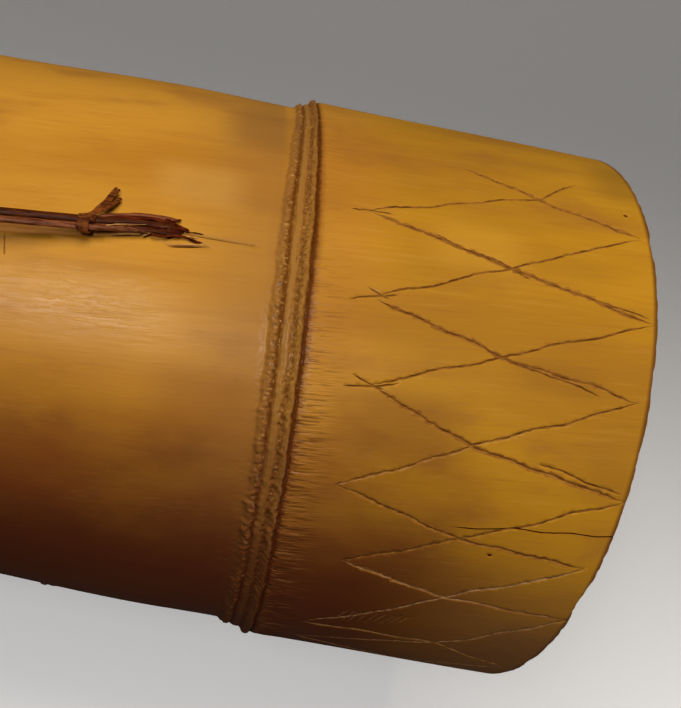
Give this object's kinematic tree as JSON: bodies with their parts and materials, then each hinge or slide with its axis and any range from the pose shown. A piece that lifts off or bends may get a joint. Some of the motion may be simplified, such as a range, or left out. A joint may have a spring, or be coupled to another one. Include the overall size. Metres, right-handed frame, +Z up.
{
  "type": "bamboo tube zither",
  "caption": "Bamboo tube with strings split from its own skin, sliding bridges under them, twine lashings near their roots and a band of knife-cut diamonds at one end.",
  "frame": {"origin": "under the middle of the tube, on the surface that it lies on", "axes": "+X along the tube towards the end with the cut diamonds, +Z up through the first string, +Y sideways"},
  "size_m": [0.5381, 0.0876, 0.0899],
  "materials": {
    "bamboo_skin": "satin",
    "bamboo_web": "matte",
    "bamboo_string": "matte",
    "bast_twine": "matte",
    "bridge_wood": "matte"
  },
  "bodies": {
    "tube": {"culm_tube": "bamboo_skin", "node_web_left": "bamboo_web", "node_web_right": "bamboo_web", "string_1": "bamboo_string", "lashing_1_right": "bast_twine", "lashing_1_left": "bast_twine", "string_2": "bamboo_string", "lashing_2_right": "bast_twine", "lashing_2_left": "bast_twine", "string_3": "bamboo_string", "lashing_3_right": "bast_twine", "lashing_3_left": "bast_twine"},
    "bridge_1_right": {"bridge_1_right": "bridge_wood"},
    "bridge_1_left": {"bridge_1_left": "bridge_wood"},
    "bridge_2_right": {"bridge_2_right": "bridge_wood"},
    "bridge_2_left": {"bridge_2_left": "bridge_wood"},
    "bridge_3_right": {"bridge_3_right": "bridge_wood"},
    "bridge_3_left": {"bridge_3_left": "bridge_wood"}
  },
  "joints": [
    {"name": "bridge_1_right_slide", "type": "slide", "parent": "tube", "child": "bridge_1_right", "axis": [-1, 0, 0], "range_m": [0, 0.025]},
    {"name": "bridge_1_left_slide", "type": "slide", "parent": "tube", "child": "bridge_1_left", "axis": [1, 0, 0], "range_m": [0, 0.025]},
    {"name": "bridge_2_right_slide", "type": "slide", "parent": "tube", "child": "bridge_2_right", "axis": [-1, 0, 0], "range_m": [0, 0.025]},
    {"name": "bridge_2_left_slide", "type": "slide", "parent": "tube", "child": "bridge_2_left", "axis": [1, 0, 0], "range_m": [0, 0.025]},
    {"name": "bridge_3_right_slide", "type": "slide", "parent": "tube", "child": "bridge_3_right", "axis": [-1, 0, 0], "range_m": [0, 0.025]},
    {"name": "bridge_3_left_slide", "type": "slide", "parent": "tube", "child": "bridge_3_left", "axis": [1, 0, 0], "range_m": [0, 0.025]}
  ]
}
